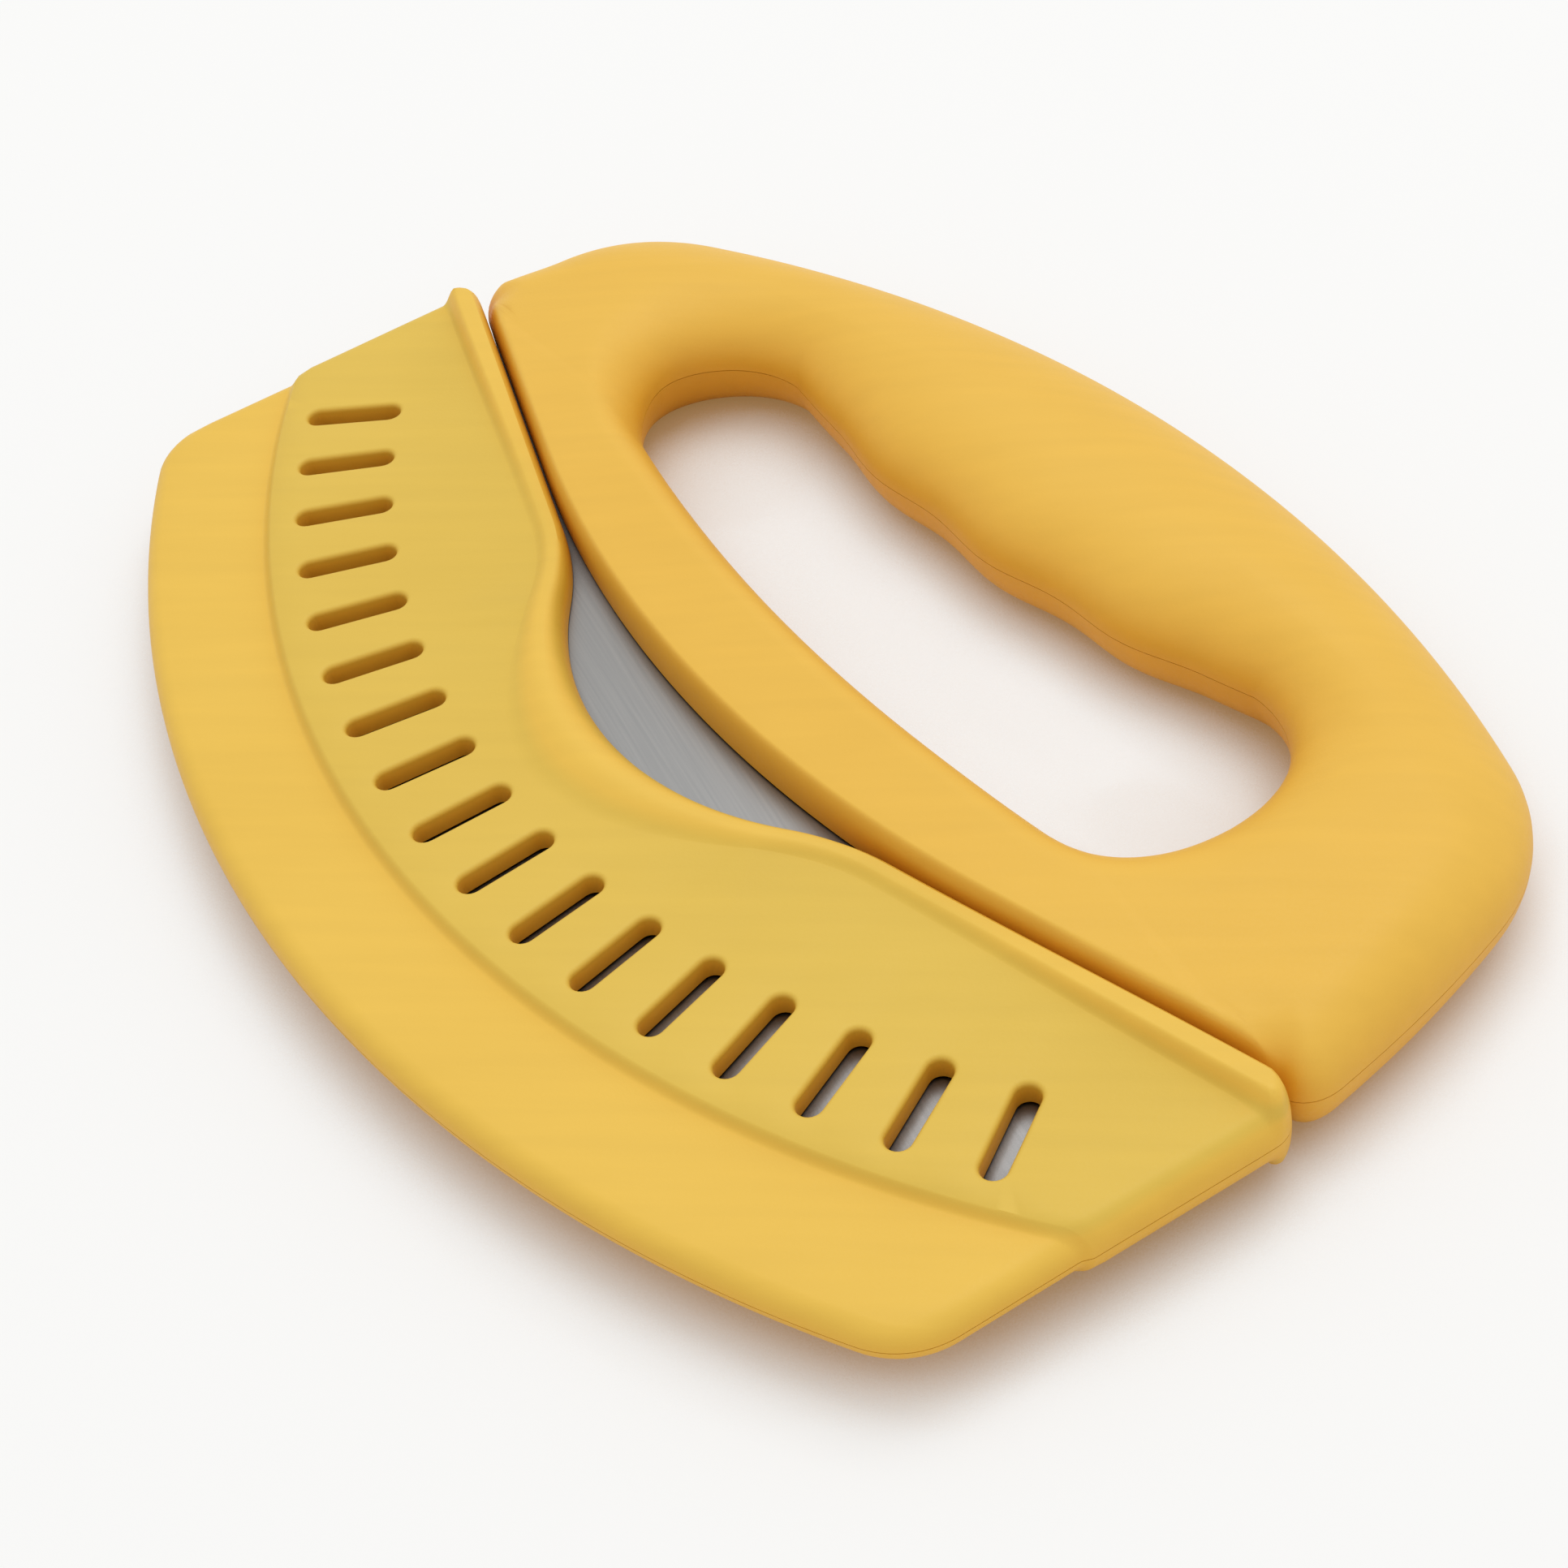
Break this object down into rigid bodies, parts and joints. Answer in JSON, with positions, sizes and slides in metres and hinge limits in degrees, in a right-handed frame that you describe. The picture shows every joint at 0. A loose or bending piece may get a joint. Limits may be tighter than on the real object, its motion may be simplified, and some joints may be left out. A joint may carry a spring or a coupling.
{
  "type": "rocking pizza cutter",
  "caption": "Rocking pizza cutter with a D-shaped finger-grooved handle, a curved steel blade and a slotted slide-off blade sheath.",
  "frame": {"origin": "middle of the part's box in X and Y, on the flat back of the handle in Z", "axes": "+X along the cutting edge, +Y from the cutting edge to the grip, +Z out of the handle's front face"},
  "size_m": [0.1852, 0.133, 0.017],
  "materials": {
    "handle": "satin moulded",
    "sheath": "satin moulded",
    "steel": "brushed"
  },
  "bodies": {
    "cutter": {"blade": "steel", "handle_front_shell": "handle", "handle_back_shell": "handle"},
    "sheath": {"sheath_front_cover": "sheath", "sheath_back_cover": "sheath"}
  },
  "joints": [
    {"name": "sheath_slide", "type": "slide", "parent": "cutter", "child": "sheath", "axis": [0, -1, 0], "range_m": [0, 0.08]}
  ]
}
